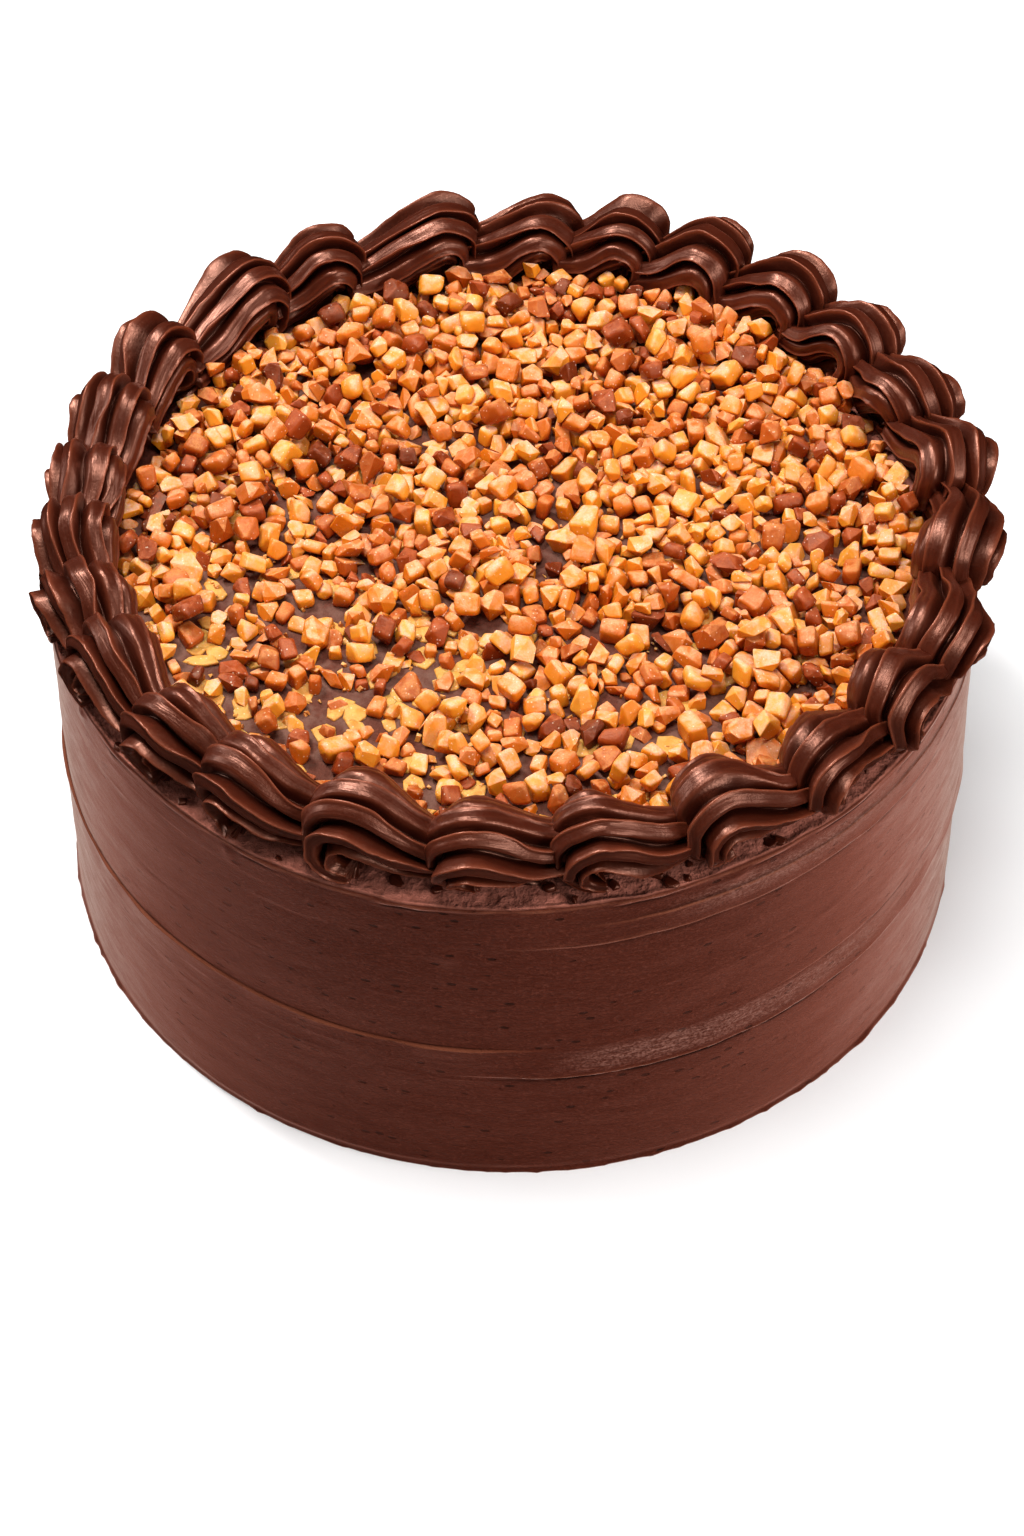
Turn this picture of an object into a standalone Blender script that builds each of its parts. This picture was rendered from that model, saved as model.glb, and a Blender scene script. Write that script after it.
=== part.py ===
"""Round chocolate layer cake, uncut: an iced drum with toffee bits on top and a border of piped shells.

Units are metres and +Z is up. The origin is the middle of the flat underside. The front of the cake
faces -Y, and angles are measured anticlockwise from +X, seen from above.
"""

import math
import random
from typing import NamedTuple

import bmesh
import bpy
from mathutils import Euler, Vector

# Driving dimensions of the iced drum
BASE_RADIUS = 0.110
TOP_RADIUS = 0.1085
DRUM_HEIGHT = 0.0935
FOOT_HEIGHT = 0.003
RIM_ROUNDING = 0.0016
DRUM_SEGMENTS = 64

# Spatula marks that run round the wall: height, how far each stands out, and its width
WALL_RIDGES = (
    (0.0458, 0.0007, 0.0030),
    (0.0362, 0.0005, 0.0022),
)

# How far the wall is from round: waves in a turn, share of the wave's height, start, drift up the wall
WALL_WAVE = 0.0004
WALL_WAVES = ((3, 1.0, 0.7, 0.0), (5, 0.6, 0.0, 4.0))

# Border of piped shells, a little off the drum's middle.
# Each angle is where a shell's nose stands, in degrees.
RING_RADIUS = 0.1015
RING_CENTRE = (0.0014, 0.0010)
NOSE_ANGLES = (
    4, 17.8, 31.2, 43.5, 57, 69.3, 81.2, 95.5, 113, 125.3, 142.8, 155.8, 168,
    179.5, 190.8, 202, 217, 229.5, 244.5, 259, 274, 289.7, 305, 319.3, 332, 348,
)
SHELL_FINS = 8
SHELL_GAP = 0.0004
CREST_HEIGHT = 0.0222
PIVOT_HEIGHT = 0.0042
NOSE_REACH = 0.0096
HEAD_HALF_WIDTH = 0.0108
FOOT_HALF_WIDTH = 0.0092
TAIL_HALF_WIDTH = 0.0086
VALLEY_HEIGHT = 0.0138
GROOVE_DEPTH = 0.30
NOSE_START_ANGLE = math.radians(-12)
NOSE_EASE = 0.85
LEAST_COSINE = 0.1
SLOPE_EASE = 0.9
PIVOT_FADE = 2
NOSE_STATIONS = 4
TAIL_STATIONS = 3
TAIL_SWING = 0.0032
UNDERSIDE = -0.45
NOTHING_FLAT = -2.0
ALL_FLAT = 2.0
SHELL_TWIST = math.radians(16)
SHELL_WIDTHS = (0.96, 1.04)
SHELL_HEIGHTS = (0.94, 1.05)
FIN_SHIFT = 0.5
SHELL_SEED = 5

# Toffee bits, largest first
BIT_COUNT = 206
BIT_FIELD_RADIUS = 0.0885
LARGEST_BIT = 0.0112
SMALLEST_BIT = 0.0074
BIT_SINK = 0.0012
BIT_TILT = math.radians(20)
BIT_SPACING = 0.86
BIT_TRIES = 4000
BIT_DEPTHS = (0.34, 0.46)
BIT_HEIGHTS = (0.30, 0.42)
CORNER_PULLS = (0.66, 0.98)
BIT_SEED = 11

# Faces higher than this above the top icing belong to the bits
TOP_MARGIN = 0.0002


def clear_scene():
    for obj in list(bpy.data.objects):
        bpy.data.objects.remove(obj)


def make_material(name, colour, roughness):
    material = bpy.data.materials.new(name)
    material.use_nodes = True
    shader = material.node_tree.nodes["Principled BSDF"]
    shader.inputs["Base Color"].default_value = (*colour, 1.0)
    shader.inputs["Roughness"].default_value = roughness
    shader.inputs["Metallic"].default_value = 0.0
    return material


def add_object(name, shape, *materials):
    mesh = bpy.data.meshes.new(name)
    shape.to_mesh(mesh)
    shape.free()
    obj = bpy.data.objects.new(name, mesh)
    bpy.context.scene.collection.objects.link(obj)
    for material in materials:
        obj.data.materials.append(material)
    return obj


def smooth_step(value):
    value = min(max(value, 0.0), 1.0)
    return value * value * (3 - 2 * value)


def skin_rings(shape, rings):
    """Faces between closed rings of equal length, with a flat cap on the first and the last ring."""
    loops = [[shape.verts.new(point) for point in ring] for ring in rings]
    count = len(loops[0])
    for low, high in zip(loops, loops[1:]):
        for i in range(count):
            j = (i + 1) % count
            shape.faces.new((low[i], low[j], high[j], high[i]))
    shape.faces.new(tuple(reversed(loops[0])))
    shape.faces.new(tuple(loops[-1]))


def wall_radius(height, angle):
    """The wall leans in a little, carries two spatula ridges and isn't perfectly round."""
    share = height / DRUM_HEIGHT
    radius = BASE_RADIUS + (TOP_RADIUS - BASE_RADIUS) * share
    for ridge_height, proud, width in WALL_RIDGES:
        radius += proud * math.exp(-(((height - ridge_height) / width) ** 2))
    wave = 0.0
    for count, size, start, drift in WALL_WAVES:
        wave += size * math.sin(count * angle + start + drift * share)
    return radius + WALL_WAVE * wave * smooth_step(height / FOOT_HEIGHT)


def drum_heights():
    """Heights of the wall's rings: the foot, each ridge with its two sides, and the rim."""
    heights = [0.0, FOOT_HEIGHT]
    for ridge_height, _, width in sorted(WALL_RIDGES):
        heights += [ridge_height - width, ridge_height, ridge_height + width]
    return heights + [DRUM_HEIGHT - RIM_ROUNDING]


def make_drum(icing):
    shape = bmesh.new()
    angles = [2 * math.pi * i / DRUM_SEGMENTS for i in range(DRUM_SEGMENTS)]
    rings = []
    for height in drum_heights():
        ring = []
        for angle in angles:
            radius = wall_radius(height, angle)
            ring.append((radius * math.cos(angle), radius * math.sin(angle), height))
        rings.append(ring)
    rim = TOP_RADIUS - RIM_ROUNDING
    rings.append([(rim * math.cos(a), rim * math.sin(a), DRUM_HEIGHT) for a in angles])
    skin_rings(shape, rings)
    return add_object("frosted_cake", shape, icing)


def bit_corners(draw, size):
    """A broken chunk: a box whose corners are pulled in unevenly."""
    half = Vector((size / 2, size * draw.uniform(*BIT_DEPTHS), size * draw.uniform(*BIT_HEIGHTS)))
    corners = []
    for x in (-1, 1):
        for y in (-1, 1):
            for z in (-1, 1):
                pull = draw.uniform(*CORNER_PULLS)
                corners.append(Vector((x * half.x, y * half.y, z * half.z)) * pull)
    return corners


def bit_sites(draw):
    """Places for the bits in the ring of shells, largest first, none touching another."""
    sites = []
    for i in range(BIT_COUNT):
        size = LARGEST_BIT + (SMALLEST_BIT - LARGEST_BIT) * i / BIT_COUNT
        for _ in range(BIT_TRIES):
            radius = (BIT_FIELD_RADIUS - size / 2) * math.sqrt(draw.random())
            angle = draw.uniform(0, 2 * math.pi)
            x = RING_CENTRE[0] + radius * math.cos(angle)
            y = RING_CENTRE[1] + radius * math.sin(angle)
            if all(math.hypot(x - a, y - b) > BIT_SPACING * (size + other) / 2 for a, b, other in sites):
                sites.append((x, y, size))
                break
    return sites


def make_bits(toffee):
    """Chunks sunk a little way into the top, in a collection of their own."""
    draw = random.Random(BIT_SEED)
    bits = bpy.data.collections.new("toffee_bits")
    bpy.context.scene.collection.children.link(bits)
    for x, y, size in bit_sites(draw):
        turn = Euler((draw.uniform(-BIT_TILT, BIT_TILT), draw.uniform(-BIT_TILT, BIT_TILT), 0))
        turn.rotate_axis("Z", draw.uniform(0, 2 * math.pi))
        points = [turn.to_matrix() @ corner for corner in bit_corners(draw, size)]
        lowest = min(point.z for point in points)
        lift = Vector((x, y, DRUM_HEIGHT - BIT_SINK - lowest))
        shape = bmesh.new()
        for point in points:
            shape.verts.new(point + lift)
        hull = bmesh.ops.convex_hull(shape, input=list(shape.verts))
        spare = set(hull["geom_interior"] + hull["geom_unused"])
        bmesh.ops.delete(shape, geom=list(spare), context="VERTS")
        bmesh.ops.recalc_face_normals(shape, faces=list(shape.faces))
        bit = add_object("toffee_bit", shape, toffee)
        bpy.context.scene.collection.objects.unlink(bit)
        bits.objects.link(bit)
    return bits


def fuse(target, parts):
    """Joins the collection's objects to the target in one union, then removes them."""
    union = target.modifiers.new("fuse", "BOOLEAN")
    union.operation = "UNION"
    union.operand_type = "COLLECTION"
    union.collection = parts
    union.solver = "EXACT"
    bpy.context.view_layer.update()
    graph = bpy.context.evaluated_depsgraph_get()
    fused = bpy.data.meshes.new_from_object(target.evaluated_get(graph))
    target.modifiers.clear()
    target.data = fused
    for part in list(parts.objects):
        bpy.data.objects.remove(part)
    bpy.data.collections.remove(parts)


def paint_bits(cake, icing, toffee):
    """Gives the faces that stand above the top icing the toffee's material."""
    cake.data.materials.clear()
    cake.data.materials.append(icing)
    cake.data.materials.append(toffee)
    for face in cake.data.polygons:
        face.material_index = 1 if face.center.z > DRUM_HEIGHT + TOP_MARGIN else 0


class Station(NamedTuple):
    """One cross-section: a star in a plane that stands on a line across the shell and tilts by an angle."""

    along: float
    height: float
    angle: float
    reach: float
    half_width: float
    flat_below: float


def nose_stations(high):
    """Sections that fan over the head, from its foot under the nose up to the crest."""
    stations = []
    crest_reach = CREST_HEIGHT * high - PIVOT_HEIGHT
    for i in range(NOSE_STATIONS):
        share = i / (NOSE_STATIONS - 1)
        angle = NOSE_START_ANGLE + (math.pi / 2 - NOSE_START_ANGLE) * share**NOSE_EASE
        reach = NOSE_REACH + (crest_reach - NOSE_REACH) * max(math.sin(angle), 0.0)
        reach = min(reach, NOSE_REACH / max(math.cos(angle), LEAST_COSINE))
        width = FOOT_HALF_WIDTH + (HEAD_HALF_WIDTH - FOOT_HALF_WIDTH) * smooth_step(share)
        flat_below = UNDERSIDE if i == NOSE_STATIONS - 1 else NOTHING_FLAT
        stations.append(Station(0.0, PIVOT_HEIGHT, angle, reach, width, flat_below))
    foot = stations[0]._replace(flat_below=ALL_FLAT)
    return [foot] + stations


def tail_stations(high, length):
    """Upright sections that sink and narrow from the crest to the next shell."""
    stations = []
    crest = CREST_HEIGHT * high
    for i in range(1, TAIL_STATIONS + 1):
        share = i / TAIL_STATIONS
        drop = (1 - math.cos(math.pi * share**SLOPE_EASE)) / 2
        top = crest + (VALLEY_HEIGHT - crest) * drop
        width = HEAD_HALF_WIDTH + (TAIL_HALF_WIDTH - HEAD_HALF_WIDTH) * share
        base = PIVOT_HEIGHT * (1 - smooth_step(PIVOT_FADE * share))
        stations.append(Station(length * share, base, math.pi / 2, top - base, width, UNDERSIDE))
    return stations


def star_point(station, size, around, shift):
    """A point of a cross-section, as its way along the shell, its shift sideways and its height."""
    out = station.reach / 2 * (1 + size * math.cos(around))
    side = shift + station.half_width * size * math.sin(around)
    along = station.along - out * math.cos(station.angle)
    height = station.height + out * math.sin(station.angle)
    if math.cos(around) < station.flat_below:
        height = 0.0
    return along, side, max(height, 0.0) + SHELL_GAP


def shell_rings(nose_angle, pitch, draw):
    """Rings of points of one shell. Pitch is the way from its nose to the next shell's nose."""
    wide = draw.uniform(*SHELL_WIDTHS)
    high = draw.uniform(*SHELL_HEIGHTS)
    phase = draw.uniform(-FIN_SHIFT, FIN_SHIFT) * math.pi / SHELL_FINS
    stations = nose_stations(high) + tail_stations(high, pitch - NOSE_REACH - SHELL_GAP)
    rings = []
    for index, station in enumerate(stations):
        share = index / (len(stations) - 1)
        station = station._replace(half_width=station.half_width * wide)
        turn = phase + SHELL_TWIST * (share - 0.5)
        shift = TAIL_SWING * (0.5 - share)
        ring = []
        for i in range(2 * SHELL_FINS):
            size = 1.0 if i % 2 == 0 else 1.0 - GROOVE_DEPTH
            around = math.pi * i / SHELL_FINS + turn
            along, side, height = star_point(station, size, around, shift)
            azimuth = nose_angle + (along + NOSE_REACH) / RING_RADIUS
            x = RING_CENTRE[0] + (RING_RADIUS + side) * math.cos(azimuth)
            y = RING_CENTRE[1] + (RING_RADIUS + side) * math.sin(azimuth)
            ring.append((x, y, DRUM_HEIGHT + height))
        rings.append(ring)
    return rings


def make_shells(icing):
    draw = random.Random(SHELL_SEED)
    angles = [math.radians(angle) for angle in NOSE_ANGLES]
    for index, nose in enumerate(angles):
        following = angles[(index + 1) % len(angles)]
        pitch = ((following - nose) % (2 * math.pi)) * RING_RADIUS
        shape = bmesh.new()
        skin_rings(shape, shell_rings(nose, pitch, draw))
        bmesh.ops.recalc_face_normals(shape, faces=list(shape.faces))
        add_object(f"shell_{index + 1:02d}", shape, icing)


def main():
    clear_scene()
    wall_icing = make_material("chocolate_icing", (0.100, 0.021, 0.011), 0.55)
    piped_icing = make_material("piped_chocolate", (0.062, 0.011, 0.005), 0.35)
    toffee = make_material("toffee", (0.76, 0.28, 0.05), 0.45)
    cake = make_drum(wall_icing)
    fuse(cake, make_bits(toffee))
    paint_bits(cake, wall_icing, toffee)
    make_shells(piped_icing)


main()
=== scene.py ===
"""Looks of a round chocolate layer cake: iced drum, piped border and a bed of toffee bits.

Units are metres, +Z is up and the front of the cake faces -Y.
"""

import itertools
import math
import random

import bmesh
import bpy
import numpy as np
from mathutils import Euler, Matrix, Vector


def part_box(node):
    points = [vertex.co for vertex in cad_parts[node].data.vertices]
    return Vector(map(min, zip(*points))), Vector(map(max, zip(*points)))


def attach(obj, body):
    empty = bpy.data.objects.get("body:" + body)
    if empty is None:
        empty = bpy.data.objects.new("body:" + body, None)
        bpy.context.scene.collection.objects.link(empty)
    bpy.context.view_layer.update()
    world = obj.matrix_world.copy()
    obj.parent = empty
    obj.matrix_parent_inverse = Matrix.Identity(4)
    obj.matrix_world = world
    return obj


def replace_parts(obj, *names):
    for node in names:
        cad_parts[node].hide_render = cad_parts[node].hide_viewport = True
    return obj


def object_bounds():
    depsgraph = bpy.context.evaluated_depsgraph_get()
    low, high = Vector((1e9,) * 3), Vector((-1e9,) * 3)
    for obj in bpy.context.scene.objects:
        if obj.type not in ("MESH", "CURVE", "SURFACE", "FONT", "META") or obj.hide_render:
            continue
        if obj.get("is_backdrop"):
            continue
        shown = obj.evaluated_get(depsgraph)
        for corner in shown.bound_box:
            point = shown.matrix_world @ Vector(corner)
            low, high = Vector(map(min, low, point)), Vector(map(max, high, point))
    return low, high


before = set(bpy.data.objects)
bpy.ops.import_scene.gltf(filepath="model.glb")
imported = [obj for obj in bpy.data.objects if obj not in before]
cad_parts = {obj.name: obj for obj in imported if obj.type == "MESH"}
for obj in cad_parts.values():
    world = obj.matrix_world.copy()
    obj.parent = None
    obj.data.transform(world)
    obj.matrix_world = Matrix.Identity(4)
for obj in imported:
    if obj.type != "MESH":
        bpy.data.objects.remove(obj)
cad_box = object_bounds()

BODY = "root"
MM = 0.001

# Camera of the photograph, worked out from its 1024 x 1536 image
IMAGE_HEIGHT = 1536
FOCAL_PIXELS = 3500
SENSOR = 36.0
CAMERA_PLACE = (0.0, -0.587, 0.666)
CAMERA_PITCH = math.radians(47.8)

# Iced drum
SHELL_GAP = 0.4 * MM
TOP_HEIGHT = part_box("shell_01")[0].z - SHELL_GAP
BASE_RADIUS = 110.0 * MM
RIM_RADIUS = 108.5 * MM
DRUM_COLUMNS = 480
OUT_OF_ROUND = 0.4 * MM
SWAY = 0.6 * MM
BROAD_WAVES = 0.16 * MM
FINE_WAVES = 0.05 * MM
FOOT_LUMPS = 0.45 * MM
FOOT_GROOVE = 0.12 * MM
UNDER_RIM_BUMPS = 0.9 * MM
RIM_OVERLAP = 0.45 * MM
RIM_ROUNDING = 0.30 * MM
RIM_LIP = 0.40 * MM
RIM_TROUGH = 0.35 * MM
OVERLAP_ARC = (190, 335)

# Rings of the drum: heights up the wall, offsets from each spatula line, and distances in from the rim
FOOT_ROWS = np.linspace(0, 3.0, 10) * MM
WALL_ROWS = np.arange(3.6, 91.0, 1.6) * MM
LINE_ROWS = np.array([-0.85, -0.6, -0.35, -0.15, 0.0, 0.12, 0.25, 0.5]) * MM
OVERHANG_ROWS = np.array([-1.6, -1.35, -1.1]) * MM
RIM_ROWS = TOP_HEIGHT - np.array([3.0, 2.6, 2.3, 2.0, 1.7, 1.4, 1.1, 0.8, 0.5, 0.25]) * MM
LEAST_ROW_GAP = 0.07 * MM
DEEP_STEP = 0.5 * MM
TOP_RINGS = np.concatenate([
    np.array([0.25, 0.7, 1.2, 1.8, 2.5, 3.3, 4.2, 5.2, 6.3, 7.5, 8.8]) * MM,
    np.arange(10.0, 108.0, 2.0) * MM,
])

# Grain of the smoothed icing: size and height of each texture
GRAIN_SIZE, GRAIN_HEIGHT = 0.8 * MM, 0.28 * MM
STREAK_SIZE, STREAK_HEIGHT = 5 * MM, 0.40 * MM
DRAG_SIZE, DRAG_HEIGHT = 9 * MM, 0.90 * MM
SPREAD_SIZE, SPREAD_HEIGHT = 2.2 * MM, 1.4 * MM
PIT_SPACING, PIT_DEPTH = 7.0 * MM, 0.5 * MM

# Colours as linear red, green and blue
ICING_DEEP = (0.070, 0.0115, 0.0050)
ICING_LIGHT = (0.092, 0.0170, 0.0082)
ICING_STREAK = (0.120, 0.030, 0.017)
ICING_SHADE = (0.040, 0.0070, 0.0034)
ICING_FLECK = (0.180, 0.050, 0.030)
# Painted highlight for the lit edges of the spatula lines and the rim
ICING_LIT_EDGE = (0.20, 0.057, 0.028)
# Painted shade inside the pits
ICING_PIT_SHADE = (0.022, 0.006, 0.0035)
ICING_DRY = (0.150, 0.072, 0.052)
# Painted light on the strip outside the border, making up for the shells' shadow
ICING_STRIP_PAINTED_LIGHT = (0.450, 0.155, 0.108)
# Painted sheen colours for the wall where it turns away and in the shiny bands
ICING_WARM_SHEEN = (0.270, 0.078, 0.050)
ICING_PALE_SHEEN = (0.50, 0.330, 0.275)
ICING_SHEEN = (0.250, 0.108, 0.080)
# Painted shadow for the lines under overhangs, ledges and the rim
ICING_CREASE_SHADOW = (0.014, 0.0026, 0.0012)
PIPED_DEEP = (0.034, 0.0044, 0.0015)
PIPED_LIGHT = (0.056, 0.0086, 0.0032)
PIPED_STREAK = (0.100, 0.020, 0.009)
# Painted highlight on the piped crests
PIPED_CREST_HIGHLIGHT = (0.190, 0.040, 0.016)
# Painted shade deep in the piped grooves
PIPED_GROOVE_SHADE = (0.014, 0.0014, 0.0004)
TOFFEE_SPECK = (0.95, 0.80, 0.62)
# Flakes and crumbs: light, deep and top colours, the last partly dust and partly painted light from above
FLAKE_COLOURS = ((0.66, 0.31, 0.060), (0.46, 0.17, 0.022), (0.72, 0.37, 0.10))
CRUMB_COLOURS = ((0.80, 0.33, 0.060), (0.30, 0.060, 0.010), (0.84, 0.43, 0.16))

# Border of piped shells
RING_RADIUS = 101.5 * MM
RING_CENTRE = (1.4 * MM, 1.0 * MM)
SHELL_NAMES = sorted(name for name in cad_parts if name.startswith("shell_"))
SHELL_FINS = 8
# One fin, from the groove above it to the next:
# share of its width, share of the groove's depth, closeness to the lip
FIN_PROFILE = (
    (0.000, 0.00, 0.0), (0.030, 0.10, 0.0), (0.050, 0.40, 0.0), (0.068, 0.76, 0.1), (0.090, 0.95, 0.6),
    (0.120, 1.00, 1.0), (0.150, 0.975, 0.8), (0.190, 0.91, 0.25), (0.250, 0.87, 0.0), (0.340, 0.85, 0.0),
    (0.440, 0.835, 0.0), (0.540, 0.81, 0.05), (0.610, 0.77, 0.35), (0.665, 0.69, 0.3), (0.720, 0.53, 0.0),
    (0.780, 0.33, 0.0), (0.850, 0.16, 0.0), (0.940, 0.03, 0.0),
)
# Scraps outside the border: how many, how far out and how long, in millimetres
SCRAP_COUNT = 70
SCRAP_RADII = (103.0, 107.0)
SCRAP_SIZES = (1.6, 4.4)

# Toffee bits: smallest, largest and usual sizes are in millimetres
FIELD_RADIUS = 91.6 * MM
BIT_COUNT = 1960
BIT_SIZES = (2.9, 8.9, 5.5)
DROP_LAYERS = 5
CRUMB_COUNT = 700
CRUMB_SIZES = (0.8, 2.4, 1.2)
FLAKE_COUNT = 120
FLAKE_MIDDLE = math.radians(-125)
FLAKE_SPREAD = math.radians(55)
WEAR = 0.09
SUNK_BITS = 0.25 * MM
SETTLE_FRAMES = 60
# Rigid bodies settle better when they are larger than these small chunks
SIMULATION_SCALE = 100.0
# A chunk that rests higher than this has strayed onto a shell or another chunk
MOST_HEIGHT = 13.5 * MM
MOST_HEIGHT_AT_EDGE = 9.5 * MM
EDGE_WIDTH = 8 * MM


def smooth(value):
    """0 to 1 with level ends."""
    value = np.clip(value, 0.0, 1.0)
    return value * value * (3 - 2 * value)


def hump(distance, width):
    """1 at no distance, falling away evenly on both sides."""
    return np.exp(-(distance / width) ** 2)


def lattice_value(cells, seed):
    """A repeatable number from -1 to 1 for each row of three whole numbers."""
    mixed = cells[..., 0] * 73856093 ^ cells[..., 1] * 19349663 ^ cells[..., 2] * 83492791
    mixed = mixed ^ (seed * 2654435761 % 4294967296)
    mixed = (mixed ^ (mixed >> 13)) * 1274126177 & 0x7FFFFFFFFFFF
    mixed = (mixed ^ (mixed >> 16)) * 2246822519 & 0x7FFFFFFFFFFF
    return ((mixed >> 15) & 0xFFFF) / 32767.5 - 1.0


def noise(points, seed):
    """Smooth noise from -1 to 1, with features about one unit wide."""
    cell = np.floor(points).astype(np.int64)
    part = smooth(points - cell)
    total = np.zeros(points.shape[:-1])
    for corner in itertools.product((0, 1), repeat=3):
        weight = np.prod(np.where(corner, part, 1 - part), axis=-1)
        total += weight * lattice_value(cell + np.array(corner), seed)
    return total


def rough(points, size, seed, octaves=3):
    """Noise in several sizes, each half as large and half as strong as the last."""
    total = np.zeros(points.shape[:-1])
    for octave in range(octaves):
        total += noise(points / (size / 2**octave), seed + octave) / 2**octave
    return total


def grid_faces(rows, columns):
    """Quads between rings of points, closed round each ring."""
    i = np.arange(rows - 1)[:, None] * columns
    j = np.arange(columns)[None, :]
    k = (j + 1) % columns
    quads = np.stack([i + j, i + k, i + columns + k, i + columns + j], axis=-1)
    return quads.reshape(-1, 4).tolist()


def end_faces(first, count, middle, outward):
    """A fan of triangles that closes one end of a tube."""
    fan = []
    for i in range(count):
        a = first + i
        b = first + (i + 1) % count
        fan.append((b, a, middle) if outward else (a, b, middle))
    return fan


def add_piece(name, points, faces, material):
    """A smooth piece from points and faces, riding the cake's only body."""
    mesh = bpy.data.meshes.new(name)
    mesh.from_pydata(np.asarray(points).reshape(-1, 3).tolist(), [], faces)
    mesh.shade_smooth()
    mesh.materials.append(material)
    piece = bpy.data.objects.new(name, mesh)
    bpy.context.scene.collection.objects.link(piece)
    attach(piece, BODY)
    return piece


def add_values(piece, name, values):
    """Stores one number for each point, for the material to read."""
    layer = piece.data.attributes.new(name, "FLOAT", "POINT")
    layer.data.foreach_set("value", np.ascontiguousarray(values, np.float32).ravel())


class Nodes:
    """Short ways to write a material's node tree."""

    def __init__(self, name):
        self.material = bpy.data.materials.new(name)
        self.material.use_nodes = True
        self.tree = self.material.node_tree
        self.shader = self.tree.nodes["Principled BSDF"]

    def add(self, kind, **values):
        node = self.tree.nodes.new(kind)
        for key, value in values.items():
            setattr(node, key, value)
        return node

    def link(self, source, target):
        if isinstance(source, (int, float)):
            target.default_value = source
        elif isinstance(source, tuple):
            target.default_value = source if len(source) == len(target.default_value) else (*source, 1.0)
        else:
            self.tree.links.new(source, target)

    def position(self, scale=(1, 1, 1)):
        place = self.add("ShaderNodeNewGeometry").outputs["Position"]
        scaled = self.add("ShaderNodeVectorMath", operation="MULTIPLY")
        self.link(place, scaled.inputs[0])
        scaled.inputs[1].default_value = scale
        return scaled.outputs[0]

    def noise(self, size, detail=3.0, roughness=0.55, stretch=(1, 1, 1), distortion=0.0, where=None):
        """Noise from 0 to 1 with features of this size."""
        texture = self.add("ShaderNodeTexNoise")
        self.link(self.position(stretch) if where is None else where, texture.inputs["Vector"])
        texture.inputs["Scale"].default_value = 1 / size
        texture.inputs["Detail"].default_value = detail
        texture.inputs["Roughness"].default_value = roughness
        texture.inputs["Distortion"].default_value = distortion
        return texture.outputs["Fac"]

    def cells(self, size, stretch=(1, 1, 1)):
        """Distance to the nearest of scattered points, in parts of this size."""
        texture = self.add("ShaderNodeTexVoronoi")
        self.link(self.position(stretch), texture.inputs["Vector"])
        texture.inputs["Scale"].default_value = 1 / size
        return texture.outputs["Distance"]

    def value(self, name):
        return self.add("ShaderNodeAttribute", attribute_name=name).outputs["Fac"]

    def maths(self, operation, a, b=0.0):
        node = self.add("ShaderNodeMath", operation=operation)
        self.link(a, node.inputs[0])
        self.link(b, node.inputs[1])
        return node.outputs[0]

    def times(self, a, b):
        return self.maths("MULTIPLY", a, b)

    def span(self, source, low, high, to_low=0.0, to_high=1.0):
        """Maps low..high to another range, with smooth ends and no overshoot."""
        node = self.add("ShaderNodeMapRange", interpolation_type="SMOOTHSTEP")
        self.link(source, node.inputs["Value"])
        node.inputs["From Min"].default_value = low
        node.inputs["From Max"].default_value = high
        node.inputs["To Min"].default_value = to_low
        node.inputs["To Max"].default_value = to_high
        return node.outputs["Result"]

    def line(self, source, low, high):
        """Maps low..high to 0..1 evenly, with no overshoot."""
        node = self.add("ShaderNodeMapRange")
        self.link(source, node.inputs["Value"])
        node.inputs["From Min"].default_value = low
        node.inputs["From Max"].default_value = high
        return node.outputs["Result"]

    def mix(self, share, first, second, blend="MIX"):
        node = self.add("ShaderNodeMix", data_type="RGBA", blend_type=blend)
        self.link(share, node.inputs["Factor"])
        self.link(first, node.inputs[6])
        self.link(second, node.inputs[7])
        return node.outputs[2]

    def bump(self, height, distance, strength=1.0, under=None):
        node = self.add("ShaderNodeBump")
        node.inputs["Strength"].default_value = strength
        node.inputs["Distance"].default_value = distance
        self.link(height, node.inputs["Height"])
        if under is not None:
            self.link(under, node.inputs["Normal"])
        return node.outputs["Normal"]

    def facing(self):
        """0 where the surface faces the eye, 1 where it turns away."""
        node = self.add("ShaderNodeLayerWeight")
        node.inputs["Blend"].default_value = 0.5
        return node.outputs["Facing"]

    def upward(self):
        """The upward part of the surface's direction."""
        split = self.add("ShaderNodeSeparateXYZ")
        self.link(self.add("ShaderNodeNewGeometry").outputs["Normal"], split.inputs[0])
        return split.outputs["Z"]

    def finish(self, colour, roughness, normal):
        self.link(colour, self.shader.inputs["Base Color"])
        self.link(roughness, self.shader.inputs["Roughness"])
        self.link(normal, self.shader.inputs["Normal"])
        return self.material

    def settings(self, **values):
        for name, value in values.items():
            self.shader.inputs[name.replace("_", " ")].default_value = value


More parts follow.
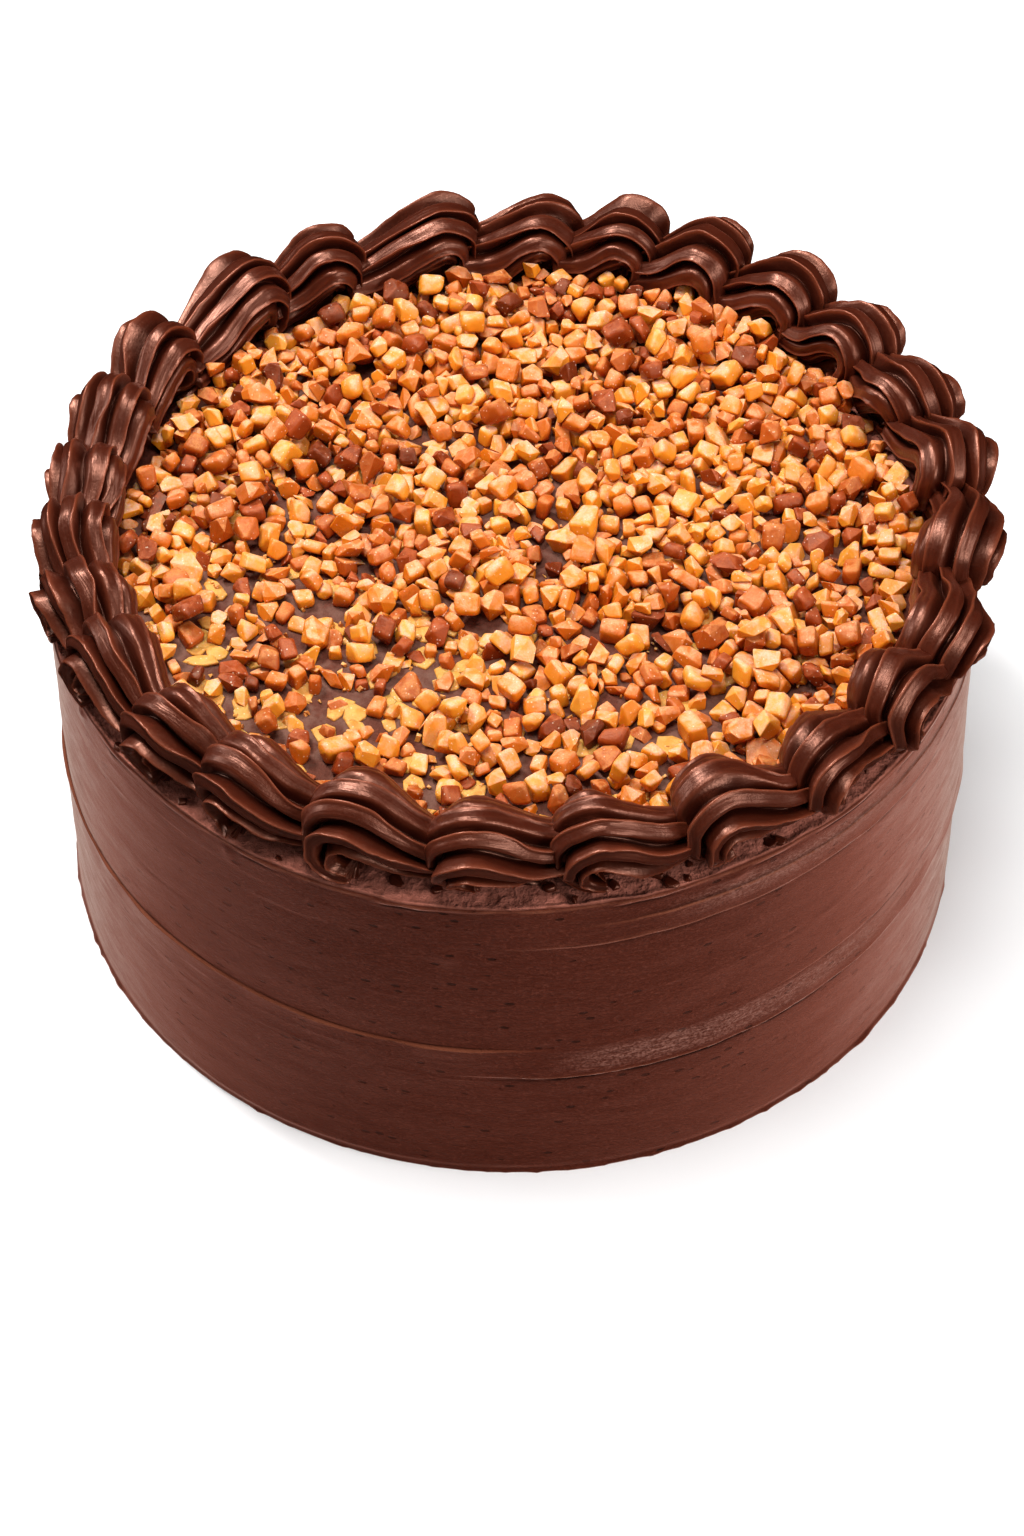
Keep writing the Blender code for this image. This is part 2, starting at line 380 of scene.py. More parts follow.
def icing_material():
    """Spatula-smoothed chocolate icing: matt, with fine grain, drag marks and small pits, and painted
    sheen, edge highlights and shadow lines.
    """
    nodes = Nodes("smoothed_chocolate")
    broad = nodes.noise(26 * MM, 3.0, stretch=(1, 1, 1.6))
    streak = nodes.noise(STREAK_SIZE, 4.0, 0.6, stretch=(1, 1, 7))
    drag = nodes.noise(DRAG_SIZE, 5.0, 0.66, stretch=(1, 1, 4.5), distortion=0.6)
    grain = nodes.noise(GRAIN_SIZE, 3.0, 0.62, stretch=(1, 1, 1.5))
    spread = nodes.noise(SPREAD_SIZE, 3.0, 0.6)
    upright = nodes.span(nodes.upward(), 0.2, 0.6, 1.0, 0.0)
    edge, field, strip = nodes.value("edge"), nodes.value("field"), nodes.value("strip")

    # Pits, on the wall alone, dented by bump and darkened with painted shade
    pit_cells = nodes.span(nodes.cells(PIT_SPACING, stretch=(1, 1, 2.6)), 0.11, 0.19, 1.0, 0.0)
    pit_where = nodes.span(nodes.noise(16 * MM, 2.0, stretch=(1, 1, 2.0)), 0.44, 0.50)
    pits = nodes.times(nodes.times(pit_cells, pit_where), upright)

    # Body colour, with drag streaks, grain, painted highlights on the lit edges and painted shade in the
    # pits
    tone = nodes.mix(broad, ICING_DEEP, ICING_LIGHT)
    tone = nodes.mix(nodes.span(streak, 0.45, 0.8, 0.0, 0.5), tone, ICING_STREAK)
    tone = nodes.mix(nodes.span(grain, 0.35, 0.65, 0.40, 0.0), tone, ICING_SHADE)
    tone = nodes.mix(nodes.span(grain, 0.55, 0.75, 0.0, 0.35), tone, ICING_FLECK)
    tone = nodes.mix(nodes.times(edge, 0.9), tone, ICING_LIT_EDGE)
    tone = nodes.mix(nodes.times(pits, 0.8), tone, ICING_PIT_SHADE)

    # Dry patches between the toffee bits, and the rougher strip outside the border, painted lighter to make
    # up for the shells' shadow on it
    patches = nodes.noise(7 * MM, 4.0, 0.6)
    dusted = nodes.times(field, nodes.span(patches, 0.40, 0.62, 0.30, 1.0))
    tone = nodes.mix(dusted, tone, ICING_DRY)
    lit = nodes.times(strip, nodes.span(spread, 0.30, 0.66, 0.45, 1.0))
    tone = nodes.mix(lit, tone, ICING_STRIP_PAINTED_LIGHT)

    # Painted sheen: the wall's soft reflection where it turns away, warm at first, then pale and streaked
    # along the drag marks
    away = nodes.facing()
    warm_sheen = nodes.times(nodes.span(away, 0.34, 0.80), upright)
    tone = nodes.mix(warm_sheen, tone, ICING_WARM_SHEEN)
    pale = nodes.times(nodes.maths("POWER", nodes.line(away, 0.56, 0.97), 1.7), upright)
    pale = nodes.times(pale, nodes.span(drag, 0.36, 0.66, 0.65, 1.30))
    tone = nodes.mix(pale, tone, ICING_PALE_SHEEN)
    # Painted sheen in the shiny bands
    sheen = nodes.times(nodes.value("band"), nodes.span(grain, 0.38, 0.66, 0.15, 1.0))
    sheen = nodes.times(sheen, nodes.span(streak, 0.35, 0.65, 0.35, 1.0))
    tone = nodes.mix(sheen, tone, ICING_SHEEN)
    # Painted shadow lines under the spatula lines and the rim
    tone = nodes.mix(nodes.value("crease_shadow"), tone, ICING_CREASE_SHADOW)

    shine = nodes.span(grain, 0.3, 0.75, 0.46, 0.62)
    normal = nodes.bump(grain, GRAIN_HEIGHT, 0.7)
    normal = nodes.bump(streak, STREAK_HEIGHT, 0.6, normal)
    normal = nodes.bump(drag, DRAG_HEIGHT, 0.6, normal)
    spread_here = nodes.maths("MAXIMUM", strip, nodes.times(field, 0.8))
    normal = nodes.bump(nodes.times(spread, spread_here), SPREAD_HEIGHT, 0.8, normal)
    normal = nodes.bump(nodes.maths("SUBTRACT", 1.0, pits), PIT_DEPTH, 0.8, normal)
    nodes.settings(Specular_IOR_Level=0.22, Specular_Tint=(0.60, 0.30, 0.22, 1.0), IOR=1.45)
    return nodes.finish(tone, shine, normal)


def piped_material():
    """Piped chocolate: darker and glossier, with painted reddish highlights on the crests, painted shade in
    the grooves and fine lines along each strand.
    """
    nodes = Nodes("piped_chocolate")
    broad = nodes.noise(9 * MM, 3.0)
    grain = nodes.noise(0.6 * MM, 3.0, 0.6)
    along_strand = nodes.add("ShaderNodeAttribute", attribute_name="strand").outputs["Vector"]
    streak = nodes.noise(1.0, 2.0, 0.5, where=along_strand)
    tone = nodes.mix(broad, PIPED_DEEP, PIPED_LIGHT)
    tone = nodes.mix(nodes.span(streak, 0.4, 0.8, 0.0, 0.35), tone, PIPED_STREAK)
    # Painted highlight along the crests
    tone = nodes.mix(nodes.span(nodes.value("crest"), 0.0, 1.0, 0.0, 0.6), tone, PIPED_CREST_HIGHLIGHT)
    # Painted shade deep in the grooves
    tone = nodes.mix(nodes.times(nodes.value("hollow"), 0.9), tone, PIPED_GROOVE_SHADE)
    shine = nodes.span(grain, 0.3, 0.75, 0.29, 0.42)
    normal = nodes.bump(grain, 0.10 * MM, 0.6)
    normal = nodes.bump(streak, 0.30 * MM, 0.5, normal)
    nodes.settings(Specular_IOR_Level=1.0, Specular_Tint=(1.0, 0.46, 0.32, 1.0), IOR=1.5)
    nodes.settings(Subsurface_Weight=0.06, Subsurface_Radius=(1.0, 0.35, 0.2), Subsurface_Scale=1.0 * MM)
    return nodes.finish(tone, shine, normal)


def toffee_material(name, light, deep, bloom_and_top_light):
    """Broken toffee: a translucent body with painted shade on its sides and undersides, pale tops that are
    dusty and bloomed and also painted lighter as if lit from above, and small white specks.
    """
    nodes = Nodes(name)
    tone = nodes.value("tone")
    cloud = nodes.noise(2.6 * MM, 3.0)
    grain = nodes.noise(0.45 * MM, 3.0, 0.65)
    specks = nodes.span(nodes.cells(1.3 * MM), 0.10, 0.17, 1.0, 0.0)
    clouded = nodes.maths("ADD", nodes.times(tone, 0.75), nodes.times(cloud, 0.3))
    colour = nodes.mix(clouded, deep, light)
    upward = nodes.upward()
    # Painted shade: sides and undersides darkened toward the deep colour
    colour = nodes.mix(nodes.span(upward, -0.4, 0.45, 0.75, 0.0), colour, deep)
    # Pale tops: partly dust, partly painted light from above
    dusted = nodes.times(nodes.span(upward, 0.35, 0.90), nodes.span(cloud, 0.36, 0.62, 0.15, 0.95))
    dusted = nodes.times(dusted, nodes.span(grain, 0.36, 0.60, 0.55, 1.0))
    colour = nodes.mix(dusted, colour, bloom_and_top_light)
    colour = nodes.mix(nodes.times(specks, 0.5), colour, TOFFEE_SPECK)
    shine = nodes.span(dusted, 0.0, 0.8, 0.36, 0.60)
    normal = nodes.bump(grain, 0.18 * MM, 0.7)
    normal = nodes.bump(cloud, 0.5 * MM, 0.6, normal)
    nodes.settings(Specular_IOR_Level=0.42, Specular_Tint=(1.0, 0.82, 0.60, 1.0), IOR=1.48)
    nodes.settings(Subsurface_Weight=0.35, Subsurface_Radius=(1.0, 0.45, 0.12), Subsurface_Scale=1.6 * MM)
    return nodes.finish(colour, shine, normal)


# Lines that the spatula left round the wall: height, step, how far it fades, first and last angle in
# degrees. A positive step is a ledge that looks up, a negative one an overhang; painted shadow lies under
# both.
WALL_LINES = (
    (36.2 * MM, -0.75 * MM, 9 * MM, 262, 372),
    (45.8 * MM, 0.70 * MM, 8 * MM, 168, 276),
    (46.6 * MM, -0.22 * MM, 7 * MM, 300, 385),
    (80.5 * MM, -0.20 * MM, 6 * MM, 268, 352),
    (86.6 * MM, 0.22 * MM, 4 * MM, 276, 362),
    (41.0 * MM, -0.35 * MM, 9 * MM, 20, 150),
    (62.0 * MM, 0.40 * MM, 9 * MM, 40, 172),
)
LINE_FADE = math.radians(14)
# Bands of painted sheen where the icing shines: lowest and highest point, first and last angle in degrees
WALL_BANDS = ((37.0 * MM, 46.0 * MM, 272, 336), (82.0 * MM, 91.0 * MM, 286, 352))


def line_strength(angle, first, last):
    """1 between two angles given in degrees, fading out past both."""
    middle = math.radians((first + last) / 2)
    half = math.radians((last - first) / 2)
    away = np.abs((angle - middle + math.pi) % (2 * math.pi) - math.pi)
    return smooth((half - away) / LINE_FADE)


def wall_rows():
    """Heights of the wall's rings, close together at the foot, the lines and the rim."""
    rows = set(FOOT_ROWS) | set(WALL_ROWS) | set(RIM_ROWS)
    for height, step, *_ in WALL_LINES:
        rows |= set(height + LINE_ROWS)
        if step < -DEEP_STEP:
            rows |= set(height + OVERHANG_ROWS)
    ordered = [0.0]
    for row in sorted(rows):
        if row - ordered[-1] > LEAST_ROW_GAP:
            ordered.append(row)
    return np.array(ordered)


def sway(angle, height):
    """How far the spatula's path wanders up and down round the wall."""
    wander = (0.7 * np.sin(2 * angle + 1.0) + 0.5 * np.sin(5 * angle + 2.0)) * SWAY
    return wander * np.sin(np.pi * height / TOP_HEIGHT) ** 0.5


def line_relief(number, angle, height, around):
    """One spatula line: how far it stands out, how bright the painted highlight on its edge is and how dark
    the painted shadow under it.
    """
    line, step, fade, first, last = WALL_LINES[number]
    middle = line + sway(angle, line) + 0.22 * MM * noise(around / (5 * MM), 90 + number)
    strength = line_strength(angle, first, last) * (1 + 0.35 * noise(around / (9 * MM), 60 + number))
    away = (middle - height) if step > 0 else (height - middle)
    proud = abs(step) * strength * smooth(away / (0.22 * MM) + 0.5) * np.exp(-np.maximum(away, 0) / fade)
    lit = strength * hump(away - 0.12 * MM, 0.28 * MM)
    if step > 0:
        # Painted shadow just below a ledge
        return proud, lit, 0.6 * strength * hump(away + 0.35 * MM, 0.28 * MM)
    # Painted shadow line under an overhang, ragged along its length
    ragged = smooth(0.75 + 1.1 * noise(around / (3.5 * MM), 80 + number)) * min(1.0, -step / DEEP_STEP)
    crease_shadow = ragged * strength * hump(away - 1.1 * step + 0.35 * MM, 0.5 * MM)
    return proud, 0.8 * lit, crease_shadow


def rim_relief(angle, height, around):
    """The rim seen from the side: a lip that folds over the wall in places, with a painted highlight on its
    edge, broken in places, and a painted shadow line under the fold.
    """
    below = TOP_HEIGHT - height + 0.25 * MM * noise(around / (4 * MM), 63)
    overlap = line_strength(angle, *OVERLAP_ARC) * smooth(0.35 + 1.6 * noise(around / (8 * MM), 61))
    proud = RIM_OVERLAP * overlap * smooth((1.5 * MM - below) / (0.3 * MM))
    proud -= RIM_ROUNDING * smooth((0.5 * MM - below) / (0.5 * MM))
    # Painted shadow under the rim's fold
    crease_shadow = overlap * hump(below - 2.05 * MM, 0.28 * MM)
    # Painted highlight along the rim's lit edge, broken up by noise
    worn = 0.55 + 0.45 * noise(around / (2.5 * MM), 62)
    lit = worn * smooth((1.4 * MM - below) / (0.3 * MM)) * smooth((below - 0.3 * MM) / (0.3 * MM))
    return proud, lit, crease_shadow


def wall_points(angles):
    """Rings up the wall: angle, height and radius, then each point's painted light: lit edge, shadow line
    and shiny band.
    """
    height = wall_rows()[:, None] + 0 * angles[None, :]
    angle = 0 * height + angles[None, :]
    share = height / TOP_HEIGHT
    height = height + sway(angle, height)
    around = np.stack([np.cos(angle) * BASE_RADIUS, np.sin(angle) * BASE_RADIUS, height], axis=-1)
    radius = BASE_RADIUS + (RIM_RADIUS - BASE_RADIUS) * share
    lobes = np.sin(3 * angle + 0.7) + 0.6 * np.sin(5 * angle + 4 * share)
    radius += OUT_OF_ROUND * lobes * smooth(height / (3 * MM))

    flow = around * np.array([1, 1, 3.0])
    finer_flow = around * np.array([1, 1, 6.0])
    radius += BROAD_WAVES * rough(flow, 34 * MM, 11, 2) + FINE_WAVES * rough(finer_flow, 9 * MM, 21, 3)
    lumps = np.maximum(rough(around, 3 * MM, 31, 2) - 0.1, 0)
    radius += FOOT_LUMPS * lumps * np.exp(-height / (1.0 * MM))
    radius -= FOOT_GROOVE * hump(height - 1.6 * MM, 0.8 * MM)
    bumps = np.maximum(noise(around / (7 * MM), 41) - 0.72, 0) * 5
    radius += UNDER_RIM_BUMPS * bumps * hump(height - TOP_HEIGHT + 9 * MM, 8 * MM)

    reliefs = [line_relief(number, angle, height, around) for number in range(len(WALL_LINES))]
    reliefs.append(rim_relief(angle, height, around))
    radius += sum(relief[0] for relief in reliefs)
    edge = np.maximum(np.max([relief[1] for relief in reliefs], axis=0), 0)
    crease_shadow = np.maximum(np.max([relief[2] for relief in reliefs], axis=0), 0)

    band = np.zeros_like(radius)
    for low, high, first, last in WALL_BANDS:
        inside = smooth((height - low) / (2.5 * MM)) * smooth((high - height) / (2.5 * MM))
        band = np.maximum(band, inside * line_strength(angle, first, last))
    return angle, height, radius, edge, crease_shadow, band


def top_points(angles, rim_radius):
    """Rings from the rim to the middle: a raised ragged lip, then a roughly spread top."""
    radius = rim_radius[None, :] - TOP_RINGS[:, None] * rim_radius[None, :] / RIM_RADIUS
    angle = 0 * radius + angles[None, :]
    flat = np.stack([radius * np.cos(angle), radius * np.sin(angle), 0 * radius], axis=-1)
    height = TOP_HEIGHT + 0.22 * MM * rough(flat, 12 * MM, 51, 3) + 0.10 * MM * rough(flat, 2.4 * MM, 52, 2)
    inward = TOP_RINGS[:, None]
    ragged = 0.55 + 0.45 * noise(flat / (3 * MM), 53)
    outside = smooth((9.5 * MM - inward) / (2 * MM)) * smooth(inward / (0.8 * MM))
    height += outside * MM * (0.30 * rough(flat, 5 * MM, 56, 2) + 0.22 * rough(flat, 1.6 * MM, 57, 2) + 0.1)
    height += RIM_LIP * ragged * hump(inward, 0.8 * MM)
    height -= RIM_TROUGH * hump(inward - 2.2 * MM, 0.9 * MM) * (0.5 + 0.5 * noise(flat / (8 * MM), 54))
    # Painted highlight on the rim's lit edge
    edge = hump(inward - 0.2 * MM, 0.5 * MM) * (0.45 + 0.35 * ragged)
    # Painted shadow line inside the raised lip
    crease_shadow = 0.8 * hump(inward - 1.0 * MM, 0.35 * MM) * smooth(0.4 + 1.2 * noise(flat / (9 * MM), 58))
    return angle, height, radius, edge, crease_shadow, 0 * angle


def make_drum(material):
    """The iced drum, with its painted lit edges, shadow lines and shiny bands at each point."""
    angles = np.linspace(0, 2 * np.pi, DRUM_COLUMNS, endpoint=False)
    wall = wall_points(angles)
    top = top_points(angles, wall[2][-1])
    angle, height, radius, edge, crease_shadow, band = (np.concatenate(pair) for pair in zip(wall, top))
    points = np.stack([radius * np.cos(angle), radius * np.sin(angle), np.maximum(height, 0)], axis=-1)
    faces = grid_faces(len(points), DRUM_COLUMNS)
    points = np.concatenate([points.reshape(-1, 3), [[0, 0, 0], [0, 0, TOP_HEIGHT]]])
    count = len(points) - 2
    faces += end_faces(0, DRUM_COLUMNS, count, True)
    faces += end_faces(count - DRUM_COLUMNS, DRUM_COLUMNS, count + 1, False)
    drum = add_piece("iced_drum", points, faces, material)
    for name, values in (("edge", edge), ("crease_shadow", crease_shadow), ("band", band)):
        add_values(drum, name, np.concatenate([values.ravel(), [0, 0]]))
    across = np.hypot(points[:, 0], points[:, 1])
    on_top = np.arange(len(points)) >= wall[0].size
    add_values(drum, "field", smooth((FIELD_RADIUS + 1.5 * MM - across) / (3 * MM)) * on_top)
    add_values(drum, "strip", smooth((across - FIELD_RADIUS) / (6 * MM)) * on_top)
    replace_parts(drum, "frosted_cake")


# One shell: a strand that fans round a pivot at its nose, then runs on as a tail under the next one
PIVOT_HEIGHT = 6.6 * MM
NOSE_REACH = 9.8 * MM
FOOT_REACH = 7.4 * MM
FOOT_WIDTH = 8.6 * MM
HEAD_WIDTH = 10.9 * MM
TAIL_WIDTH = 7.6 * MM
CREST_HEIGHT = 22.4 * MM
VALLEY_HEIGHT = 13.2 * MM
TUCKED = 6.0 * MM
START_ANGLE = math.radians(-104)
NOSE_STATIONS = 30
TAIL_STATIONS = 24
NOSE_LIMIT = 10.6 * MM
GROOVE_DEPTH = 0.52
SOFTNESS = 0.35 * MM
SUNK = 0.5 * MM
TINY = 1e-6

# The core that closes the hollow under a strand, a dark piece that takes the painted groove shade
CORE_AHEAD = 1.5 * MM
CORE_SHARE = 0.62
CORE_ROOF = 1.6 * MM
CORE_SIDE = -1.5 * MM
CORE_WIDTH = 3.2 * MM
CORE_RINGS = 8
CORE_SIDES = 14


def shell_places():
    """Each shell's name, the angle of its nose and the way to the next nose, read from the solids."""
    noses = []
    for name in SHELL_NAMES:
        points = np.array([vertex.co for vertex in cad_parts[name].data.vertices])
        angle = np.arctan2(points[:, 1] - RING_CENTRE[1], points[:, 0] - RING_CENTRE[0])
        middle = math.atan2(np.sin(angle).mean(), np.cos(angle).mean())
        noses.append(middle + ((angle - middle + math.pi) % (2 * math.pi) - math.pi).min())
    for index, name in enumerate(SHELL_NAMES):
        following = noses[(index + 1) % len(noses)]
        yield index, name, noses[index], ((following - noses[index]) % (2 * math.pi)) * RING_RADIUS


def fin_section():
    """Points round a section: each one's angle, share of the groove's depth, and closeness to a lip."""
    profile = np.array(FIN_PROFILE)
    step = 2 * np.pi / SHELL_FINS
    around = np.concatenate([(fin + profile[:, 0]) * step for fin in range(SHELL_FINS)])
    return around, np.tile(profile[:, 1], SHELL_FINS), np.tile(profile[:, 2], SHELL_FINS)


def shell_stations(pitch, style):
    """Sections along the strand: place, base height, tilt, reach, half width."""
    share = np.linspace(0, 1, NOSE_STATIONS)
    tilt = START_ANGLE + (np.pi / 2 - START_ANGLE) * share**0.92
    crest = CREST_HEIGHT * style["high"]
    rising = np.maximum(np.sin(tilt), 0)
    reach = NOSE_REACH + (crest - PIVOT_HEIGHT - NOSE_REACH) * rising
    under = smooth((tilt - START_ANGLE) / (0 - START_ANGLE))
    reach = np.where(tilt < 0, FOOT_REACH + (NOSE_REACH - FOOT_REACH) * under, reach)
    reach = np.minimum(reach, NOSE_LIMIT / np.maximum(np.cos(tilt), 0.1))
    width = FOOT_WIDTH + (HEAD_WIDTH - FOOT_WIDTH) * smooth(share)
    nose = np.stack([0 * share, PIVOT_HEIGHT + 0 * share, tilt, reach, width])
    share = np.arange(1, TAIL_STATIONS + 1) / TAIL_STATIONS
    length = pitch - NOSE_REACH + TUCKED
    drop = (1 - np.cos(np.pi * np.clip(share, 0, 1) ** style["slump"])) / 2
    top = crest + (VALLEY_HEIGHT - crest) * drop
    base = PIVOT_HEIGHT * (1 - smooth(1.7 * share)) - 0.4 * MM
    width = HEAD_WIDTH + (TAIL_WIDTH - HEAD_WIDTH) * smooth(share)
    tail = np.stack([length * share, base, 0 * share + np.pi / 2, top - base, width])
    return np.concatenate([nose, tail], axis=1)


def shell_style(index, nose, draw):
    """How one shell differs from the next."""
    front = max(-math.sin(nose), 0.0)
    right = max(math.cos(nose), 0.0)
    left = max(-math.cos(nose), 0.0)
    return {
        "high": draw.uniform(0.94, 1.04),
        "wide": draw.uniform(0.94, 1.05),
        "phase": draw.uniform(-0.5, 0.5) * 2 * math.pi / SHELL_FINS,
        "twist": math.radians(draw.uniform(8, 30) + 14 * left - 10 * right),
        "lean": draw.uniform(-0.05, 0.05),
        "swing": (3.0 + 1.6 * left - 2.0 * right + draw.uniform(-0.8, 0.8)) * MM,
        "wave": (0.5 + 0.9 * right + 0.5 * front + draw.uniform(0, 0.4)) * MM,
        "wave_phase": draw.uniform(-0.6, 0.6),
        "slump": draw.uniform(0.8, 1.05),
        "inner": 0.97 - 0.13 * abs(math.cos(nose)),
        "tuck": (0.8 + 3.4 * max(math.cos(nose - math.radians(300)), 0.0) ** 2) * MM,
        "seed": 100 + index * 7,
    }


def on_ring(nose, along, side, height):
    """Points given along and across the border from a shell's pivot, in the cake's frame."""
    azimuth = nose + (along + NOSE_REACH) / RING_RADIUS
    radius = RING_RADIUS + side
    x = RING_CENTRE[0] + radius * np.cos(azimuth)
    y = RING_CENTRE[1] + radius * np.sin(azimuth)
    return np.stack(np.broadcast_arrays(x, y, TOP_HEIGHT + height), axis=-1)


def shell_shape(nose, pitch, style):
    """The strand's points, and for each how near a crest and how deep in a groove it is, for the painted
    crest highlight and groove shade.
    """
    around, proud, lip = fin_section()
    place, base, tilt, reach, width = (row[:, None] for row in shell_stations(pitch, style))
    share = np.linspace(0, 1, len(place))[:, None]
    nose_length = 1.2
    tail_stretch = nose_length + np.linspace(0, 1, TAIL_STATIONS)
    along_strand = np.concatenate([np.linspace(0, nose_length, NOSE_STATIONS), tail_stretch])[:, None]
    fin = np.floor(around / (2 * np.pi / SHELL_FINS) + TINY)[None, :] % SHELL_FINS
    seed = style["seed"]
    local = np.stack(np.broadcast_arrays(along_strand * 2.2, fin * 3.1, seed + 0 * fin), axis=-1)
    ruffle = noise(local, seed)
    depth = GROOVE_DEPTH * (1 + 0.15 * noise(local * 0.5, seed + 1))
    size = (1 - depth * (1 - proud)) * (1 + 0.08 * noise(local * 0.8, seed + 5))
    torn = noise(np.stack(np.broadcast_arrays(along_strand * 16, fin * 5.3, 0 * fin), axis=-1), seed + 2)
    size = size + 0.02 * torn * lip
    lean = style["lean"] + 0.17 * ruffle + 0.16 * noise(local * 0.45, seed + 6)
    turned = around + style["phase"] + style["twist"] * (share - 0.5) + lean * proud
    out = reach / 2 * (1 + size * np.cos(turned))
    swing = style["swing"] * (0.5 - share)
    swing = swing + style["wave"] * np.sin(2 * np.pi * (1.25 * share + style["wave_phase"]))
    side = width * style["wide"] * size * np.sin(turned)
    along = place - out * np.cos(tilt)
    height = np.maximum(base + out * np.sin(tilt), -SUNK)
    side = np.where(side < 0, side * style["inner"], side)
    side = side - style["tuck"] * smooth(side / (5 * MM)) * smooth((9 * MM - height) / (7 * MM)) + swing
    points = on_ring(nose, along, side, height)
    soft = np.stack([rough(points, 7 * MM, seed + 3 + axis, 2) for axis in range(3)], axis=-1)
    points = points + SOFTNESS * soft
    points[..., 2] = np.maximum(points[..., 2], TOP_HEIGHT - SUNK)
    crest = lip + 0 * share
    hollow = smooth((0.75 - proud) / 0.7) + 0 * share
    strand = np.stack(np.broadcast_arrays(along_strand * 1.3, turned * 9.0, seed + 0 * turned), axis=-1)
    return points, crest, hollow, strand


def shell_core(nose, pitch):
    """Rings of points round a core that closes the hollow under the strand."""
    length = pitch - NOSE_REACH + TUCKED
    along = np.linspace(-CORE_AHEAD, CORE_SHARE * length, CORE_RINGS)[:, None]
    way = np.linspace(0, 2 * np.pi, CORE_SIDES, endpoint=False)[None, :]
    roof = PIVOT_HEIGHT * (1 - smooth(1.7 * along / length)) + CORE_ROOF
    side = CORE_SIDE + CORE_WIDTH * np.sin(way)
    height = roof / 2 * (1 + np.cos(way)) - SUNK
    return on_ring(nose, along, side, height)


def closed_tube(points, first):
    """The points of rings with both ends' middles, and the faces that close them."""
    rows, columns = points.shape[:2]
    faces = (np.array(grid_faces(rows, columns)) + first).tolist()
    count = rows * columns
    faces += end_faces(first, columns, first + count, True)
    faces += end_faces(first + count - columns, columns, first + count + 1, False)
    return np.concatenate([points.reshape(-1, 3), [points[0].mean(0), points[-1].mean(0)]]), faces


def make_shells(material):
    """Builds the border and returns a coarse grid of points for each shell."""
    draw = random.Random(17)
    grids = []
    for index, name, nose, pitch in shell_places():
        style = shell_style(index, nose, draw)
        points, crest, hollow, strand = shell_shape(nose, pitch, style)
        grids.append(points[::4, ::3])
        points, faces = closed_tube(points, 0)
        core, core_faces = closed_tube(shell_core(nose, pitch), len(points))
        extra = len(core) + 2
        points = np.concatenate([points, core])
        faces += core_faces
        shell = add_piece(name.replace("shell", "piped_shell"), points, faces, material)
        add_values(shell, "crest", np.concatenate([crest.ravel(), np.zeros(extra)]))
        # The core takes the full painted groove shade
        add_values(shell, "hollow", np.concatenate([hollow.ravel(), np.ones(extra)]))
        layer = shell.data.attributes.new("strand", "FLOAT_VECTOR", "POINT")
        strand = np.concatenate([strand.reshape(-1, 3), np.zeros((extra, 3))])
        layer.data.foreach_set("vector", np.ascontiguousarray(strand, np.float32).ravel())
        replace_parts(shell, name)
    return grids


def make_scraps(material):
    """Torn scraps of icing on the strip outside the border."""
    draw = random.Random(53)
    points, faces = [], []
    for _ in range(SCRAP_COUNT):
        angle = draw.uniform(0, 2 * math.pi)
        radius = draw.uniform(*SCRAP_RADII) * MM
        size = draw.uniform(*SCRAP_SIZES) * MM
        shape = broken_chunk(draw, size)
        tip, roll = draw.uniform(-0.5, 0.5), draw.uniform(-0.5, 0.5)
        turn = Euler((tip, roll, draw.uniform(0, 2 * math.pi))).to_matrix()
        start = len(points)
        shape = rounded(shape, size, 0.14)
        shape.verts.index_update()
        for vertex in shape.verts:
            place = turn @ vertex.co
            place.z = place.z * 0.6 + size * 0.1 + TOP_HEIGHT
            points.append((place.x + radius * math.cos(angle), place.y + radius * math.sin(angle), place.z))
        faces.extend(tuple(vertex.index + start for vertex in face.verts) for face in shape.faces)
        shape.free()
    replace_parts(add_piece("icing_scraps", points, faces, material), "frosted_cake")


def broken_chunk(draw, size):
    """A convex chunk about this long, with flat broken faces: a block, a splinter or a lump."""
    kind = draw.random()
    half = (0.5, draw.uniform(0.34, 0.47), draw.uniform(0.27, 0.42))
    shape = bmesh.new()
    if kind < 0.40:
        for corner in itertools.product((-1, 1), repeat=3):
            spot = [side * way * draw.uniform(0.50, 1.02) * size for side, way in zip(corner, half)]
            shape.verts.new(spot)
    else:
        for _ in range(draw.choice((7, 8, 9) if kind < 0.58 else (11, 13, 15))):
            way = Vector([draw.gauss(0, 1) for _ in range(3)]).normalized()
            shape.verts.new([side * reach * 1.15 * size for side, reach in zip(way, half)])
    hull = bmesh.ops.convex_hull(shape, input=list(shape.verts))
    spare = set(hull["geom_interior"] + hull["geom_unused"])
    bmesh.ops.delete(shape, geom=list(spare), context="VERTS")
    bmesh.ops.recalc_face_normals(shape, faces=list(shape.faces))
    verts, edges = list(shape.verts), list(shape.edges)
    bmesh.ops.dissolve_limit(shape, angle_limit=math.radians(14), verts=verts, edges=edges)
    return shape


def rounded(shape, size, share):
    """Rounds every edge of a chunk by this share of its size."""
    bmesh.ops.bevel(
        shape, geom=list(shape.edges), offset=size * share, offset_type="OFFSET",
        segments=2, profile=0.6, affect="EDGES", clamp_overlap=True,
    )
    bmesh.ops.recalc_face_normals(shape, faces=list(shape.faces))
    return shape


